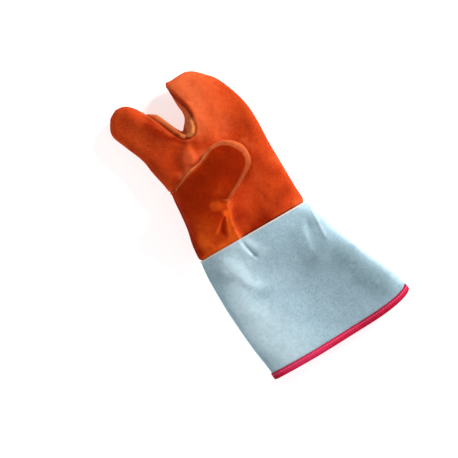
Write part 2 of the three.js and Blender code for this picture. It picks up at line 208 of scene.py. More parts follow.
# Seam lines in plan: fork, outer thumb panel over and under the side seam, and the thumb's face
FORK = [
    (-46, 198), (-39.5, 186), (-37, 180), (-35.9, 177.4), (-33.9, 173.9), (-29.8, 164.9), (-25.3, 154.3),
    (-21.8, 144.8), (-17.8, 136.2), (-14.1, 131), (-6.8, 128.6), (0.9, 130.5), (5.3, 135.9), (7.4, 144.1),
    (8.4, 152.8), (7.4, 160.6), (4.4, 169), (2.2, 179), (1, 187.5), (-1, 196), (-4, 203),
]
STRIP_OVER = [
    (-15.2, -14), (-14.6, 0.4), (-13.6, 11), (-12, 22), (-8.8, 34.5), (-3.6, 44.6), (-24, 66), (-52, 86),
    (-95, 86), (-95, -14),
]
STRIP_UNDER = [(-20, -14), (-23, 40), (-30, 66), (-52, 86), (-95, 86), (-95, -14)]
THUMB_FACE = [
    (-3.6, 44.6), (-1.1, 46.8), (7.3, 51.8), (14.6, 55.3), (21, 59.4), (27.4, 63.6), (34.1, 69),
    (37.8, 76.1), (37.8, 84), (34.4, 91.8), (29, 98.7), (21.4, 103.7), (13.4, 105.5), (6.3, 104.6),
    (-0.5, 102), (-6.3, 98.8), (-14.1, 96.8), (-24.3, 94.8), (-32.7, 91.7), (-41, 88.7), (-49.1, 86.1),
    (-53, 82), (-50, 60),
]

# Broad ridges and hollows of the upper side: from x, y to x, y, lift, width
HAND_SWELLS = [
    (12, 20, 52, 150, -7, 22),
    (9, 186, 12, 140, 2.6, 9),
    (-28, 142, -52, 186, 3, 9),
    (-42, 120, -68, 172, -4.5, 14),
]
CUFF_SWELLS = [(-4, -40, 62.4, -185, -12, 38)]

# Painted highlight (above 0) and painted shade (below 0) on ridges, hollows, grooves and edges, partly also
# the hide's own uneven tone: amount, how wide, and a line
HAND_SHADING_PAINT = [
    (0.75, 9, [(16, 186), (20, 170), (18, 150), (12, 138), (2, 129)]),
    (0.4, 18, [(34, 168), (30, 130)]),
    (0.25, 9, [(34, 116), (20, 116)]),
    (0.4, 8, [(-20, 118), (-20, 104)]),
    (0.5, 3.5, [(-11.5, 121), (-15, 103)]),
    (0.9, 5.5, [(-36, 96), (-20, 98), (-2, 104)]),
    (-0.75, 10, [(-1, 22), (6, 10), (24, 5)]),
    (0.5, 4.5, [(63, 4), (68, 2)]),
    (-0.6, 9, [(42, 16), (58, 22)]),
    (-0.3, 10, [(62, 130), (58, 100)]),
    (-0.45, 8, [(46, 70), (50, 56), (60, 46)]),
    (-0.4, 9, [(8, 44), (24, 62)]),
    (-1, 8, [(-77, 150), (-69, 122), (-64, 100)]),
    (0.5, 6, [(3, 192), (12, 196), (30, 193)]),
    (0.35, 12, [(20, 184), (40, 181)]),
    (-0.35, 10, [(-52, 120), (-42, 108)]),
    (-1, 6.5, [(-41, 166), (-34, 151), (-25, 138), (-16, 127), (-8, 122)]),
    (0.4, 1.8, [(-42, 173), (-31, 155), (-25, 143)]),
    (-0.45, 1.8, [(-27, 160), (-22.4, 148), (-16.5, 137)]),
    (0.6, 3, [(-14, 135), (-6, 132), (-1, 135)]),
    (-1, 2.4, [(-0.5, 188), (1.4, 182), (4.9, 172), (8.9, 160.5), (9.2, 150)]),
    (0.5, 2.4, [(5, 190), (10, 173), (13.6, 160)]),
    (0.2, 4.5, [(2, 150), (4, 141), (-2, 133), (-9, 128)]),
    (0.35, 16, [(-50, 28), (-46, 14)]),
    (0.5, 7, [(-55, 21), (-50, 17)]),
    (0.4, 5, [(46, 96), (50, 84)]),
    (0.5, 1.5, [(-13.7, 34), (-22.3, 28.2), (-29.9, 21.9), (-34, 19)]),
    (-0.9, 2.6, [(-17, 30), (-22, 25), (-27, 18)]),
    (1.5, 3.6, [(-13.6, 32), (-17.4, 15), (-20.5, 1)]),
    (-0.3, 4, [(-4, 30), (-6, 12), (-7, 2)]),
    (-0.4, 4, [(-4, 3), (24, 3)]),
    (0.6, 1.5, [(-4.5, 46), (-9.4, 34.5), (-12.4, 22), (-14, 11), (-15, 2)]),
    (0.6, 6, [(-60, 1), (-38, 1)]),
    (0.6, 8, [(-30, 1), (-20, 3)]),
    (-0.2, 2.5, [(-29, 41), (-20, 37)]),
    (0.35, 4, [(-15, 45), (-7, 38)]),
    (0.45, 4, [(-21, 50.5), (-17.5, 47)]),
    (0.3, 7, [(-12, 62), (-2, 66)]),
    (-0.8, 8, [(-62, 62), (-64, 40), (-65, 22), (-66, 10)]),
    (0.1, 5, [(-6, 58), (0, 52)]),
    (0.25, 6, [(-40, 84), (-28, 91)]),
    (-0.35, 4, [(36, 66), (24, 54)]),
    (0.3, 4, [(-24, 44), (-18, 40)]),
    (0.3, 6, [(67, 60), (70, 44)]),
    (-0.5, 19, [(-24, 82), (4, 80), (24, 84)]),
]
CUFF_SHADING_PAINT = [
    (0.85, 26, [(-44, -70), (-40, -110), (-28, -140)]),
    (0.6, 13, [(-42, -14), (-38, -44)]),
    (0.6, 9, [(-22, -3), (-20, -24)]),
    (0.4, 7, [(-6, -8), (2, -24)]),
    (0.2, 18, [(-10, -44), (20, -60)]),
    (-0.85, 16, [(78, -70), (86, -104), (98, -132)]),
    (-0.6, 9, [(63, -22), (60, -54)]),
    (-0.45, 10, [(42, -26), (42, -60)]),
    (-0.35, 12, [(40, -66), (66, -82)]),
    (-0.25, 10, [(18, -122), (44, -146)]),
    (0.6, 2.2, [(75, -12), (73.6, -27), (72.4, -44)]),
    (0.4, 3, [(59, -18), (53.5, -36), (51.6, -50)]),
    (1.2, 1.4, [(-16.2, -1), (-14.6, -12), (-12, -21)]),
    (-0.8, 1.1, [(-12.6, -7), (-11.2, -15), (-8, -25)]),
    (0.5, 4, [(-9, -4), (-4, -14)]),
    (0.6, 6, [(-40, -18), (-35, -30), (-28, -48), (-21, -58)]),
    (0.4, 7, [(-50, -44), (-46, -60)]),
    (-0.45, 9, [(-43, -56), (-34, -64), (-22, -68)]),
    (-0.2, 7, [(-62, -16), (-60, -26)]),
    (0.4, 5, [(51, -28), (46, -54)]),
    (0.4, 4, [(64, -2), (70, -5)]),
    (-0.3, 8, [(58, -14), (62, -24)]),
    (-0.25, 12, [(78, -98), (82, -120)]),
    (-0.6, 3, [(-67, -6), (-69, -40), (-67, -80), (-63, -120), (-59, -150)]),
    (0.2, 10, [(-56, -60), (-54, -120)]),
    (0.6, 4, [(77, -12), (88, -50), (100, -80), (112, -110), (121, -135)]),
]
TAPE_SHADING_PAINT = [
    (0.6, 22, [(-28, -157), (-4, -160)]),
    (-1, 8, [(-58, -152), (-58, -162)]),
    (-0.3, 20, [(60, -156), (84, -150)]),
]

# Creases of the hand and of the cuff: a line, its lift, how wide it runs out on each side, and its taper
HAND_FOLDS = [
    ([(-14.6, -4), (-14.6, 0.4), (-13.6, 11), (-12, 22), (-8.8, 34.5), (-3.6, 46)], 2, 4.5, 2, 0.05),
    ([(-9, 37), (-13.7, 34), (-22.3, 28.2), (-29.9, 21.9), (-40, 15.5)], 3, 3, 8, 0.25),
    ([(-14, 34), (-21.5, 25), (-27, 17), (-31, 8)], -1, 3, 3.5, 0.25),
    ([(-37.5, 45.5), (-28.5, 41.5), (-20.5, 37), (-12.5, 30.5)], -1.6, 3, 3, 0.18),
    ([(-27, 55), (-20, 49), (-12, 42)], 1.4, 5, 6, 0.35),
    ([(-20, 5), (-34, 11), (-48, 10)], -1, 9, 9, 0.18),
    ([(2, 12), (20, 26), (38, 30)], -1.2, 12, 12, 0.18),
    ([(-9, 130), (-12, 120), (-15.5, 106), (-19, 96)], 2.8, 8, 6, 0.18),
    ([(-24, 130), (-33, 112), (-40, 98)], -1.9, 10, 10, 0.18),
    ([(-16, 127), (-22, 114), (-31, 101)], 1.8, 6, 6, 0.3),
    ([(-28, 98), (-38, 96.5), (-48, 95), (-60, 92)], -2.4, 5, 4, 0.3),
    ([(20, 120), (38, 112), (62, 110)], -1.4, 9, 9, 0.18),
    ([(30, 150), (44, 138), (56, 120)], 1.2, 9, 9, 0.18),
]
CUFF_FOLDS = [
    ([(-15, 0), (-14.6, -5), (-13, -13), (-9.6, -26), (-7.4, -32)], -2.6, 3.2, 1.3, 0.3),
    ([(-19.5, 0), (-18.5, -14), (-15.5, -26)], 0.9, 4, 8, 0.3),
    ([(-47, 0), (-45, -14), (-42, -26), (-33, -46), (-23, -60)], 2.8, 14, 5, 0.3),
    ([(-27, -4), (-24, -22), (-20, -38)], -1, 6, 6, 0.4),
    ([(-54, -2), (-54.4, -25), (-57, -50), (-58, -80)], -1.5, 10, 9, 0.3),
    ([(-44, -46), (-36, -58), (-24, -72)], -0.9, 7, 7, 0.4),
    ([(59, -14), (53, -34), (51.2, -52), (54, -74)], 1.8, 8, 5, 0.4),
    ([(75, -8), (73.5, -27), (72, -42), (70.5, -60)], 2.8, 8, 3.4, 0.35),
    ([(66, -16), (63, -36), (62, -54)], -1, 5, 5, 0.4),
    ([(-30, -84), (-8, -92), (8, -104)], 1, 9, 9, 0.4),
    ([(-56, -70), (-40, -84), (-26, -90)], 1.4, 7, 9, 0.4),
    ([(78, -70), (88, -96), (98, -124)], -1.2, 9, 9, 0.4),
]

# Soft waves of the hide: scale, seed and height
HAND_WAVES = [(26, 3, 0.9), (9, 8, 0.35)]
CUFF_WAVES = [(34, 31, 0.9), (10, 37, 0.3)]
# How far the seams and the cuff's wide creases stray from their lines
SEAM_WAVER = 0.3
FOLD_DRIFT = 2.2
# The cuff's noise is read in one plane, so that its two skins fold alike
NOISE_Z = 5.0

# Ridges (above 0) and grooves (below 0) beside the seams: place across the seam, height, width
FORK_INDEX_SIDE = [(0, -1.4, 0.9), (2.8, 1.5, 1.8), (3.6, 1.6, 2.6), (-2.8, 0.9, 1.8)]
FORK_MITT_SIDE = [(0, -0.35, 0.9), (2.8, 0.9, 1.8), (-2.8, 0.9, 1.8)]
MITT_ROLL = [(-4, 1.2, 3.4)]
THUMB_RIM = [(0, -0.35, 1), (-2.2, 0.4, 1.6)]
SIDE_PIPING = [(0, -0.9, 1.1), (2.4, 0.4, 1.4)]

# The outer thumb panel laps over the palm: its step, and how far it fades out on and beside the panel
LAP_STEP = 0.9
LAP_FADE_ON = 2.5
LAP_FADE_BESIDE = 1.6
# How far the relief of the seams reaches, and what is left of it where the cuff presses on the hand
FORK_REACH = 14
LAP_REACH = 9
IN_CUFF_Y = 4
PRESSED = 0.3


def smoothstep(low, high, v):
    """0 at low and 1 at high, eased between them."""
    t = np.clip((v - low) / (high - low), 0, 1)
    return t * t * (3 - 2 * t)


def curve_through(x, y, at):
    """Values on a smooth curve through (x, y) that doesn't overshoot; x rises."""
    x = np.asarray(x, float)
    y = np.asarray(y, float)
    h = np.diff(x)
    d = np.diff(y) / h
    m = np.zeros(len(x))
    m[0] = d[0]
    m[-1] = d[-1]
    for k in range(1, len(x) - 1):
        if d[k - 1] * d[k] > 0:
            a = 2 * h[k] + h[k - 1]
            b = h[k] + 2 * h[k - 1]
            m[k] = (a + b) / (a / d[k - 1] + b / d[k])
    at = np.clip(at, x[0], x[-1])
    k = np.clip(np.searchsorted(x, at, side="right") - 1, 0, len(h) - 1)
    t = (at - x[k]) / h[k]
    t2 = t * t
    t3 = t2 * t
    value = (2 * t3 - 3 * t2 + 1) * y[k] + (t3 - 2 * t2 + t) * h[k] * m[k]
    return value + (3 * t2 - 2 * t3) * y[k + 1] + (t3 - t2) * h[k] * m[k + 1]


def table_columns(table, at):
    """Columns 2 to 5 of a table of sections, on smooth curves over its first column."""
    return [curve_through(table[:, 0], table[:, k], at) for k in range(1, 5)]


def section(turn, half, seam, crown, base):
    """Offsets across and heights of a padded section, at angles from its right end over the top."""
    c = np.cos(turn)
    s = np.sin(turn)
    power = np.where(s >= 0, 2 / ROUND_TOP, 2 / ROUND_BASE)
    out = np.sign(c) * np.abs(c) ** power * half
    lift = np.abs(s) ** power
    low = np.maximum(seam - lift * (seam - base) * SQUASH, base)
    return out, np.where(s >= 0, seam + lift * (crown - seam), low)


def loft_mesh(rings):
    """Closed skin over rings of equal length."""
    rings = np.asarray(rings)
    n, c = rings.shape[:2]
    points = np.concatenate([rings.reshape(-1, 3), rings[:1].mean(1), rings[-1:].mean(1)])
    faces = []
    for r in range(n - 1):
        for i in range(c):
            j = (i + 1) % c
            faces.append((r * c + i, r * c + j, (r + 1) * c + j, (r + 1) * c + i))
    for i in range(c):
        j = (i + 1) % c
        faces.append((n * c, j, i))
        faces.append((n * c + 1, (n - 1) * c + i, (n - 1) * c + j))
    return points, faces


def swell(xy, z, seam, crown, lines):
    """Height that broad ridges and hollows add, in full from three quarters of the way to the crown."""
    total = np.zeros(len(xy))
    for x1, y1, x2, y2, lift, wide in lines:
        a = np.array([x1, y1])
        e = np.array([x2, y2]) - a
        t = np.clip(((xy - a) @ e) / (e @ e), 0, 1)
        off = xy - a - t[:, None] * e
        total += lift * np.exp(-(off ** 2).sum(1) / wide ** 2)
    return total * smoothstep(seam + 1, seam + (crown - seam) * 0.75, z)


def tube(a, b, base, crown, seam, lines=()):
    """Loft between the far and near edges of its sections."""
    turn = np.linspace(0, 2 * math.pi, SECTION_POINTS, endpoint=False)
    rings = []
    for k in range(len(a)):
        half = np.linalg.norm(b[k] - a[k]) / 2
        across = (b[k] - a[k]) / (2 * half)
        out, z = section(turn, half, seam[k], crown[k], base[k])
        xy = (a[k] + b[k]) / 2 + out[:, None] * across
        rings.append(np.column_stack([xy, z + swell(xy, z, seam[k], crown[k], lines)]))
    return loft_mesh(rings)


def stations(first, tip, last):
    """Places of the sections along a piece: every 2 mm, then every millimetre in its rounded tip."""
    return np.concatenate([np.arange(first, tip, 2.0), np.arange(tip, last, 1.0), [last]])


def hand_loft():
    y = stations(*HAND_STATIONS)
    left, right, crown, base = table_columns(HAND, y)
    seam = np.full(len(y), SEAM_Z)
    return tube(np.column_stack([left, y]), np.column_stack([right, y]), base, crown, seam, HAND_SWELLS)


def index_loft():
    at = stations(*INDEX_STATIONS)
    left, right, crown, base = table_columns(INDEX, at)
    along = np.array([-math.sin(INDEX_TURN), math.cos(INDEX_TURN)])
    across = np.array([math.cos(INDEX_TURN), math.sin(INDEX_TURN)])
    middle = np.array(INDEX_START) + at[:, None] * along
    seam = np.full(len(at), SEAM_Z)
    a = middle + left[:, None] * across
    b = middle + right[:, None] * across
    return tube(a, b, base, crown, seam, HAND_SWELLS)


def thumb_loft():
    middle = (THUMB[:, 0:2] + THUMB[:, 2:4]) / 2
    run = np.concatenate([[0], np.cumsum(np.linalg.norm(np.diff(middle, axis=0), axis=1))])
    at = np.linspace(0, run[-1], THUMB_SECTIONS)
    fx, fy, nx, ny, base, crown = (curve_through(run, THUMB[:, k], at) for k in range(6))
    seam = base + (crown - base) * THUMB_SEAM_SHARE
    return tube(np.column_stack([fx, fy]), np.column_stack([nx, ny]), base, crown, seam)


def distance_to_line(p, line):
    """Signed distance in plan to a polyline, positive on its left, and the share of it passed."""
    line = np.asarray(line, float)
    best = np.full(len(p), 1e9)
    side = np.ones(len(p))
    along = np.zeros(len(p))
    run = 0.0
    for a, b in zip(line[:-1], line[1:]):
        e = b - a
        length = np.hypot(*e)
        t = np.clip(((p[:, :2] - a) @ e) / length ** 2, 0, 1)
        off = p[:, :2] - a - t[:, None] * e
        d = np.hypot(off[:, 0], off[:, 1])
        near = d < best
        cross = e[0] * off[:, 1] - e[1] * off[:, 0]
        best = np.where(near, d, best)
        side = np.where(near, np.where(cross >= 0, 1.0, -1.0), side)
        along = np.where(near, run + t * length, along)
        run += length
    return best * side, along / run


def inside(p, outline):
    """Signed distance in plan to a closed outline, positive inside."""
    outline = outline + outline[:1]
    d = np.abs(distance_to_line(p, outline)[0])
    odd = np.zeros(len(p), bool)
    x, y = p[:, 0], p[:, 1]
    for (x1, y1), (x2, y2) in zip(outline[:-1], outline[1:]):
        if y1 != y2:
            crosses = (y1 > y) != (y2 > y)
            odd ^= crosses & (x < x1 + (y - y1) * (x2 - x1) / (y2 - y1))
    return np.where(odd, d, -d)


def fold(p, line, lift, left, right, taper):
    """Lift along one crease, which fades out at its ends over the taper's share of its length."""
    d, t = distance_to_line(p, line)
    wide = np.where(d > 0, left, right)
    ends = smoothstep(0, taper, t) * smoothstep(0, taper, 1 - t)
    return bump(d, lift, wide) * ends


def creases(p, rows, drift=0.0):
    """Lift of all the creases of a table; drift shifts the points, and so bends the wide creases most."""
    total = np.zeros(len(p))
    for line, lift, left, right, taper in rows:
        total += fold(p + drift * min(left / 8, 1), line, lift, left, right, taper)
    return total


def bump(d, height, wide):
    return height * np.exp(-(d / wide) ** 2)


def ridges(d, rows):
    """Height at distance d from a seam, from a table of places, heights and widths."""
    return sum(bump(d - place, height, wide) for place, height, wide in rows)


def painted_shading(p, rows):
    """Painted light and shade of the hide at each point, partly its own tone: every mark fades out with the
    distance from its line.
    """
    tone = np.zeros(len(p))
    drift = np.column_stack([noise(p, 12, 71), noise(p, 12, 75)])
    for amount, wide, line in rows:
        away = distance_to_line(p[:, :2] + drift * min(wide * 0.6, 6), line)[0] / wide
        tone += amount * np.exp(-away ** 2)
    return np.clip(tone, -1, 1)


def noise(p, scale, seed, octaves=3):
    """Smooth value noise in space, made from a seeded lattice that repeats."""
    size = 32
    total = np.zeros(len(p))
    weight = 1.0
    norm = 0.0
    for octave in range(octaves):
        rng = np.random.RandomState(seed + octave)
        grid = rng.uniform(-1, 1, (size, size, size))
        q = p / scale * 2 ** octave
        cell = np.floor(q).astype(int)
        f = q - cell
        f = f * f * (3 - 2 * f)
        value = np.zeros(len(p))
        for corner in np.ndindex(2, 2, 2):
            share = np.where(corner, f, 1 - f).prod(1)
            x, y, z = ((cell + corner) % size).T
            value += share * grid[x, y, z]
        total += weight * value
        norm += weight
        weight *= 0.5
    return total / norm


def waves(p, rows):
    return sum(noise(p, scale, seed) * height for scale, seed, height in rows)


def new_mesh(name, points, faces):
    mesh = bpy.data.meshes.new(name)
    mesh.from_pydata(np.asarray(points).tolist(), [], [tuple(int(i) for i in f) for f in faces])
    mesh.update()
    return mesh


def new_object(name, mesh):
    obj = bpy.data.objects.new(name, mesh)
    bpy.context.scene.collection.objects.link(obj)
    return obj


def shade_smooth(mesh):
    mesh.polygons.foreach_set("use_smooth", np.ones(len(mesh.polygons), bool))


def keep_on_points(mesh, label, values):
    """Keeps a value on each point of the mesh, for its material to read."""
    layer = mesh.attributes.new(label, "FLOAT", "POINT")
    layer.data.foreach_set("value", np.asarray(values).astype(np.float32))


def read_rows(items, key, width, kind=float):
    values = np.empty(len(items) * width, kind)
    items.foreach_get(key, values)
    return values.reshape(-1, width)


def remeshed(parts, voxel):
    """One skin round all the closed parts, as points, triangles and edges."""
    points = []
    faces = []
    for p, f in parts:
        start = sum(len(q) for q in points)
        points.append(p)
        faces += [tuple(i + start for i in face) for face in f]
    obj = new_object("remesh_tmp", new_mesh("remesh_tmp", np.concatenate(points), faces))
    mod = obj.modifiers.new("Remesh", "REMESH")
    mod.mode = "VOXEL"
    mod.voxel_size = voxel
    mod.adaptivity = 0
    made = bpy.data.meshes.new_from_object(obj.evaluated_get(bpy.context.evaluated_depsgraph_get()))
    made.calc_loop_triangles()
    corners = read_rows(made.vertices, "co", 3)
    tris = read_rows(made.loop_triangles, "vertices", 3, int)
    edges = read_rows(made.edges, "vertices", 2, int)
    bpy.data.objects.remove(obj)
    bpy.data.meshes.remove(made)
    return corners, tris, edges


def neighbour_mean(p, edges):
    """The middle of each point's neighbours."""
    total = np.zeros_like(p)
    for axis in range(3):
        total[:, axis] = np.bincount(edges[:, 0], p[edges[:, 1], axis], len(p))
        total[:, axis] += np.bincount(edges[:, 1], p[edges[:, 0], axis], len(p))
    return total / np.bincount(edges.ravel(), minlength=len(p))[:, None]


def relax(p, edges, rounds):
    """Evens the skin out without shrinking it much: each round pulls in and pushes back."""
    for _ in range(rounds):
        for pull in (0.55, -0.57):
            p = p + pull * (neighbour_mean(p, edges) - p)
    return p


def melt(p, edges, rounds, weight):
    """Rounds the skin where weight says so, and lets it shrink there."""
    for _ in range(rounds):
        p = p + 0.5 * weight[:, None] * (neighbour_mean(p, edges) - p)
    return p


def normals(p, tris):
    n = np.cross(p[tris[:, 1]] - p[tris[:, 0]], p[tris[:, 2]] - p[tris[:, 0]])
    out = np.zeros_like(p)
    for corner in range(3):
        for axis in range(3):
            out[:, axis] += np.bincount(tris[:, corner], n[:, axis], len(p))
    return out / np.maximum(np.linalg.norm(out, axis=1, keepdims=True), 1e-9)


def split_at_zero(p, tris, fields, which):
    """Cuts the triangles along the zero line of one field, so that panels end on a clean line."""
    f = fields[:, which].copy()
    f[np.abs(f) < NO_SLIVER] = NO_SLIVER
    fields = fields.copy()
    fields[:, which] = f
    sign = f > 0
    mixed = (sign[tris].sum(1) % 3) != 0
    keep = tris[~mixed]
    cut = tris[mixed]
    lone = np.where(sign[cut].sum(1)[:, None] == 1, sign[cut], ~sign[cut])
    at = lone.argmax(1)
    rows = np.arange(len(cut))
    a, b, c = cut[rows, at], cut[rows, (at + 1) % 3], cut[rows, (at + 2) % 3]
    pairs = np.concatenate([np.column_stack([a, b]), np.column_stack([a, c])])
    keys = np.sort(pairs, axis=1)
    unique, order = np.unique(keys, axis=0, return_inverse=True)
    order = order.ravel()
    t = f[unique[:, 0]] / (f[unique[:, 0]] - f[unique[:, 1]])
    new_p = p[unique[:, 0]] + t[:, None] * (p[unique[:, 1]] - p[unique[:, 0]])
    new_f = fields[unique[:, 0]] + t[:, None] * (fields[unique[:, 1]] - fields[unique[:, 0]])
    ab = len(p) + order[: len(cut)]
    ac = len(p) + order[len(cut):]
    extra = np.concatenate([
        np.column_stack([a, ab, ac]),
        np.column_stack([ab, b, c]),
        np.column_stack([ab, c, ac]),
    ])
    return np.concatenate([p, new_p]), np.concatenate([keep, extra]), np.concatenate([fields, new_f])


def panel(name, p, n, tris, thick, marks):
    """A panel of hide: its outer skin, an inner skin and the cut edge between them."""
    used, order = np.unique(tris, return_inverse=True)
    tris = order.reshape(-1, 3)
    p = p[used]
    n = n[used]
    count = len(p)
    edges = np.concatenate([tris[:, [0, 1]], tris[:, [1, 2]], tris[:, [2, 0]]])
    key = np.sort(edges, axis=1)
    _, first, times = np.unique(key, axis=0, return_index=True, return_counts=True)
    rim = edges[first[times == 1]]
    inner = p - n * thick
    faces = np.concatenate([
        tris,
        tris[:, ::-1] + count,
        np.column_stack([rim[:, 1], rim[:, 0], rim[:, 0] + count]),
        np.column_stack([rim[:, 1], rim[:, 0] + count, rim[:, 1] + count]),
    ])
    points = (np.concatenate([p, inner]) - SHIFT) / MM_PER_M
    mesh = bpy.data.meshes.new(name)
    mesh.vertices.add(len(points))
    mesh.vertices.foreach_set("co", points.ravel())
    mesh.loops.add(len(faces) * 3)
    mesh.loops.foreach_set("vertex_index", faces.ravel())
    mesh.polygons.add(len(faces))
    mesh.polygons.foreach_set("loop_start", np.arange(len(faces)) * 3)
    mesh.update(calc_edges=True)
    mesh.validate()
    shade_smooth(mesh)
    for label, values in marks.items():
        keep_on_points(mesh, label, np.tile(values[used], 2))
    return new_object(name, mesh)


def hand_skin():
    """One skin over the hand, the index finger and the thumb, and how far each point is onto the thumb."""
    parts = [hand_loft(), index_loft(), thumb_loft()]
    skin, tris, edges = remeshed(parts, VOXEL)
    trees = [BVHTree.FromPolygons(p.tolist(), f) for p, f in parts]
    away = np.array([[tree.find_nearest(Vector(q))[3] for tree in trees] for q in skin.tolist()])
    to_hand, to_index, to_thumb = away.T
    is_thumb = np.minimum(to_hand, to_index) - to_thumb
    is_index = to_hand - to_index
    skin = relax(skin, edges, RELAX_ROUNDS)
    join = bump(is_thumb, 1, THUMB_JOIN_WIDE) + bump(is_index, 1, INDEX_JOIN_WIDE) * (skin[:, 2] > 4)
    join *= (np.abs(is_thumb) < THUMB_JOIN_REACH) | (np.abs(is_index) < INDEX_JOIN_REACH)
    free_tip = (skin > FREE_TIP_CORNER).all(1) & (skin[:, 1] < FREE_TIP_TOP)
    skin = melt(skin, edges, JOIN_ROUNDS, np.clip(join * ~free_tip, 0, 1))
    from_crotch = np.hypot(*(skin[:, :2] - CROTCH).T)
    crotch = bump(from_crotch, 1, CROTCH_WIDE) * (skin[:, 2] > 6)
    return melt(skin, edges, CROTCH_ROUNDS, crotch), tris, is_thumb


def hand_lift(skin, is_thumb):
    """How far the creases and the unevenness of the hide lift the upper side of the hand."""
    lift = creases(skin, HAND_FOLDS) * smoothstep(2, -2, is_thumb)
    lift += waves(skin, HAND_WAVES)
    return lift * smoothstep(SEAM_Z + 1, SEAM_Z + 14, skin[:, 2])


def seam_distances(skin, is_thumb):
    """Distances past the seams: into the outer thumb panel, the fork's gusset and the free thumb."""
    root = skin[:, :2] - THUMB_ROOT
    past_root = THUMB_ROOT_RUN[1] * root[:, 0] - THUMB_ROOT_RUN[0] * root[:, 1]
    free_thumb = np.minimum(is_thumb, past_root / np.hypot(*THUMB_ROOT_RUN))
    waver = noise(skin, 7, 21, 2) * SEAM_WAVER
    fork_in = inside(skin, FORK) + waver
    over_in = inside(skin, STRIP_OVER) + waver
    under_in = inside(skin, STRIP_UNDER) + waver
    face_in = np.minimum(inside(skin, THUMB_FACE) + waver, skin[:, 2] - THUMB_SEAM_Z)
    on_thumb = smoothstep(-1.5, 1.5, free_thumb)
    on_palm = np.where(skin[:, 2] > SEAM_Z, over_in, under_in)
    strip = on_palm + (np.maximum(over_in, face_in) - on_palm) * on_thumb
    return strip, fork_in, free_thumb


def seam_relief(skin, strip, fork_in, side, free_thumb, fork_run, fork_ends):
    """Height of the rolled edges at the fork, the lap and groove at the thumb, and the piped sides."""
    mitt_side = smoothstep(0.6, 0.7, fork_run)
    fork = (1 - mitt_side) * ridges(fork_in, FORK_INDEX_SIDE) + mitt_side * ridges(fork_in, FORK_MITT_SIDE)
    fork += mitt_side * ridges(fork_in, MITT_ROLL) * (fork_in < 0)
    fork += np.where(fork_in > 0.5, noise(skin, 5, 44) * 0.5, 0)
    relief = fork * fork_ends * (np.abs(fork_in) < FORK_REACH) * smoothstep(6, 12, skin[:, 2])
    on_thumb = smoothstep(-1.5, 1.5, free_thumb)
    on_panel = LAP_STEP * np.exp(-strip / LAP_FADE_ON)
    beside = -LAP_STEP * np.exp(strip / LAP_FADE_BESIDE)
    lap = np.where(strip > 0, on_panel, beside) * (1 - on_thumb) + ridges(strip, THUMB_RIM) * on_thumb
    relief += np.where(np.abs(strip) < LAP_REACH, lap, 0)
    piped = (fork_in < -2) & (strip < -2)
    relief += np.where(piped, ridges(np.abs(side), SIDE_PIPING), 0)
    return relief * np.where(skin[:, 1] < IN_CUFF_Y, PRESSED, 1)


def hand_panels():
    """The five leather panels of the hand, cut from its skin along the seams."""
    skin, tris, is_thumb = hand_skin()
    lift = hand_lift(skin, is_thumb)
    skin = skin + normals(skin, tris) * lift[:, None]
    strip, fork_in, free_thumb = seam_distances(skin, is_thumb)
    side = skin[:, 2] - SEAM_Z
    _, fork_run = distance_to_line(skin, FORK)
    fork_ends = smoothstep(0.07, 0.16, fork_run) * smoothstep(0.985, 0.93, fork_run)
    relief = seam_relief(skin, strip, fork_in, side, free_thumb, fork_run, fork_ends)
    skin = skin + normals(skin, tris) * relief[:, None]
    skin[:, 2] = np.maximum(skin[:, 2], LOWEST)

    # The distances are cut along with the skin, each a column of the fields
    fields = np.column_stack([strip, fork_in, side, free_thumb, lift, fork_ends, normals(skin, tris)])
    for seam in range(3):
        skin, tris, fields = split_at_zero(skin, tris, fields, seam)
    outward = fields[:, 6:] / np.linalg.norm(fields[:, 6:], axis=1, keepdims=True)
    in_strip, in_fork, above_side, on_thumb = (fields[tris].mean(1)[:, :4] > 0).T
    rest = ~in_strip & ~on_thumb
    chosen = {
        "palm": rest & ~in_fork & above_side,
        "back": rest & ~in_fork & ~above_side,
        "finger_gusset": rest & in_fork,
        "thumb_outer": in_strip,
        "thumb_inner": on_thumb & ~in_strip,
    }

    # At its two open ends the fork's line leaves no mark on the hide
    strip, fork_in, side, _, lift, fork_ends = fields[:, :6].T
    far_from_fork = np.sign(fork_in) * np.maximum(np.abs(fork_in), 6)
    marks = {
        "wrist": skin[:, 1],
        "fork": np.where(fork_ends > 0.2, fork_in, far_from_fork),
        "strip": strip,
        "side": side,
        "crease": lift,
        # Painted light and shade, partly the hide's own tone, fading out below the side seam
        "shading_paint": painted_shading(skin, HAND_SHADING_PAINT) * smoothstep(SEAM_Z - 6, SEAM_Z + 4, skin[:, 2]),
    }
    return {
        name: panel(name + "_hide", skin, outward, tris[faces], PANEL_WALL, marks)
        for name, faces in chosen.items()
    }


def hem_y(turn):
    """Where the hem is at each angle round the cuff, with the vent at the little finger's side."""
    degrees = np.degrees(turn) % 360
    return HEM_Y + curve_through(VENT_TURN, VENT_CLIMB, np.minimum(degrees, 360 - degrees))


